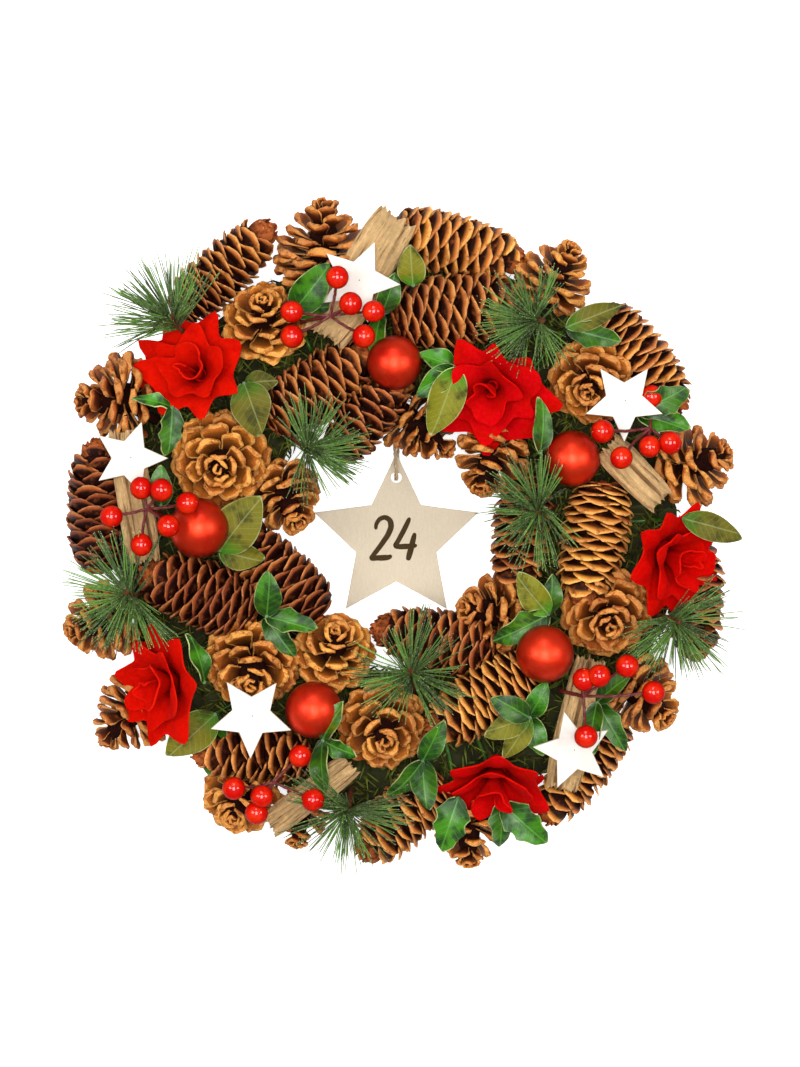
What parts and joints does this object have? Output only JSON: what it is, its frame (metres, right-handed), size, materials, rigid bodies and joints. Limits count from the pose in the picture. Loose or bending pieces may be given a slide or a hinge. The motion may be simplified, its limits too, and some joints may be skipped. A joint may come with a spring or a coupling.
{
  "type": "christmas wreath",
  "caption": "Christmas wreath of pine cones, red roses, berries, baubles, white stars, pine needles and driftwood on a bound ring, with a wooden number star.",
  "frame": {"origin": "centre of the ring on the surface that its flat back rests on", "axes": "+Z out of the wreath's face, +Y towards the top of the wreath, +X to the right as one looks at its face"},
  "size_m": [0.3603, 0.36, 0.0859],
  "materials": {
    "binding": "matt dark green ribbon wound round a straw ring",
    "cone": "dry woody scales with paler rims",
    "driftwood": "weathered, split and fibrous",
    "plain_wood": "sanded, unvarnished, with burnt brown digits",
    "white_paint": "white paint on thin wood, with bare edges",
    "bauble": "red with a satin sheen",
    "berry": "glossy red on dark red stalks",
    "petal": "matt red, soft and fibrous",
    "leaf": "waxy green with paler veins and edges",
    "needle": "dull blue green",
    "twine": "twisted natural jute"
  },
  "bodies": {
    "root": {"base_ring": "binding", "bauble_left": "bauble", "bauble_low_left": "bauble", "bauble_low_right": "bauble", "bauble_right": "bauble", "bauble_top": "bauble", "berries_bottom": "berry", "berries_left": "berry", "berries_low_right": "berry", "berries_right": "berry", "berries_top": "berry", "cone_right": "cone", "cone_right_edge": "cone", "cones_bottom": "cone", "cones_bottom_left": "cone", "cones_inner_left": "cone", "cones_inner_lower_right": "cone", "cones_inner_top": "cone", "cones_inner_upper_left": "cone", "cones_left": "cone", "cones_left_inner": "cone", "cones_left_low_edge": "cone", "cones_lower": "cone", "cones_lower_left": "cone", "cones_lower_right": "cone", "cones_right_inner": "cone", "cones_top": "cone", "cones_upper_left": "cone", "cones_upper_right": "cone", "driftwood_bottom": "driftwood", "driftwood_left": "driftwood", "driftwood_low_right": "driftwood", "driftwood_right": "driftwood", "driftwood_top": "driftwood", "leaves_bottom": "leaf", "leaves_left": "leaf", "leaves_lower_left": "leaf", "leaves_right": "leaf", "leaves_upper_left": "leaf", "leaves_upper_right": "leaf", "needles_bottom": "needle", "needles_inner_left": "needle", "needles_left": "needle", "needles_low": "needle", "needles_low_edge": "needle", "needles_right": "needle", "needles_upper_left": "needle", "needles_upper_right": "needle", "number_star": "plain_wood", "rose_bottom": "petal", "rose_left": "petal", "rose_right": "petal", "rose_upper_left": "petal", "rose_upper_right": "petal", "star_left": "white_paint", "star_low_left": "white_paint", "star_low_right": "white_paint", "star_right": "white_paint", "star_top": "white_paint", "twine_loop": "twine"}
  },
  "joints": []
}
